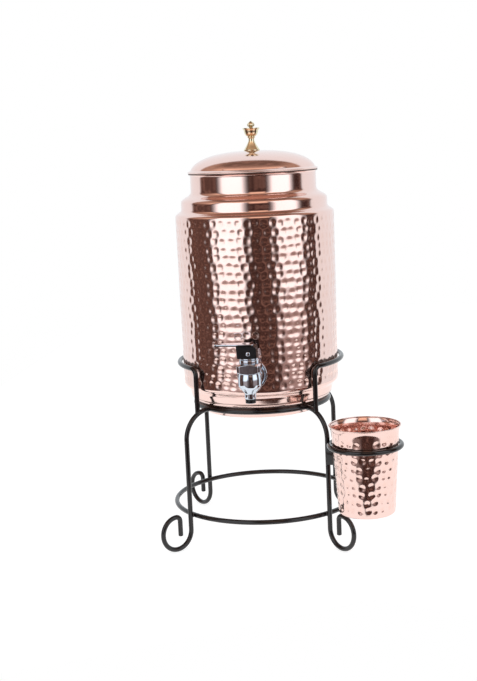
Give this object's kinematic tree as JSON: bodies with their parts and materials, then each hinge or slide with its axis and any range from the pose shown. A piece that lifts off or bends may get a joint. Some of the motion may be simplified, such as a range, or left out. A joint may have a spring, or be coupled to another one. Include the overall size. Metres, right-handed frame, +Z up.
{
  "type": "copper water dispenser",
  "caption": "Hammered copper water pot with a domed lid and a lever tap, standing on a black wire stand with scroll feet and a ring that holds a tumbler.",
  "frame": {"origin": "on the pot's upright axis, at the level of the surface that the feet stand on", "axes": "+Z up along the pot's axis, -Y to the front where the tap is, +X to the right where the tumbler is"},
  "size_m": [0.2472, 0.2228, 0.4325],
  "materials": {
    "copper": "polished, hammered",
    "brass": "polished",
    "chrome": "polished",
    "black_wire": "satin black powder coat",
    "black_plastic": "gloss",
    "rubber": "matte"
  },
  "bodies": {
    "stand": {"gallery_wire": "black_wire", "support_ring": "black_wire", "base_ring": "black_wire", "leg_front_left": "black_wire", "leg_front_right": "black_wire", "leg_rear_left": "black_wire", "leg_rear_right": "black_wire", "holder_ring": "black_wire", "holder_tab": "black_wire"},
    "pot": {"pot_shell": "copper", "pot_base": "copper", "tap_body": "chrome", "tap_flange": "chrome", "tap_outer_washer": "rubber", "tap_inner_washer": "rubber", "tap_back_nut": "brass", "tap_bonnet": "chrome", "tap_spring": "chrome"},
    "lid": {"lid_dome": "copper", "lid_skirt": "copper", "knob": "brass", "knob_stud": "brass", "knob_washer": "chrome", "knob_nut": "brass"},
    "tap_turn": {"tap_slip_washer": "chrome"},
    "tap_valve": {"tap_stem": "chrome", "tap_seat_seal": "rubber"},
    "lever": {"lever_head": "black_plastic", "lever_blade": "chrome", "lever_pin": "chrome"},
    "cup": {"tumbler": "copper"}
  },
  "joints": [
    {"name": "pot_lift", "type": "slide", "parent": "stand", "child": "pot", "axis": [0, 0, 1], "range_m": [0, 0.09]},
    {"name": "lid_lift", "type": "slide", "parent": "pot", "child": "lid", "axis": [0, 0, 1], "range_m": [0, 0.06]},
    {"name": "tap_swivel", "type": "hinge", "parent": "pot", "child": "tap_turn", "pos_m": [0, -0.10661, 0.209], "axis": [0, 0, 1], "range_deg": [-35, 215]},
    {"name": "tap_stem_lift", "type": "slide", "parent": "tap_turn", "child": "tap_valve", "axis": [0, 0, 1], "range_m": [0, 0.00301], "deforming": ["tap_spring"]},
    {"name": "tap_lever", "type": "hinge", "parent": "tap_valve", "child": "lever", "pos_m": [0, -0.10661, 0.209], "axis": [0, -1, 0], "range_deg": [0, 20], "stiffness_Nm_per_rad": 0.2, "springref_deg": -17.19},
    {"name": "tumbler_lift", "type": "slide", "parent": "stand", "child": "cup", "axis": [0, 0, 1], "range_m": [0, 0.1]}
  ],
  "couplings": [
    {"joint": "tap_stem_lift", "follows": "tap_lever", "m_per_rad": 0.0085944}
  ]
}
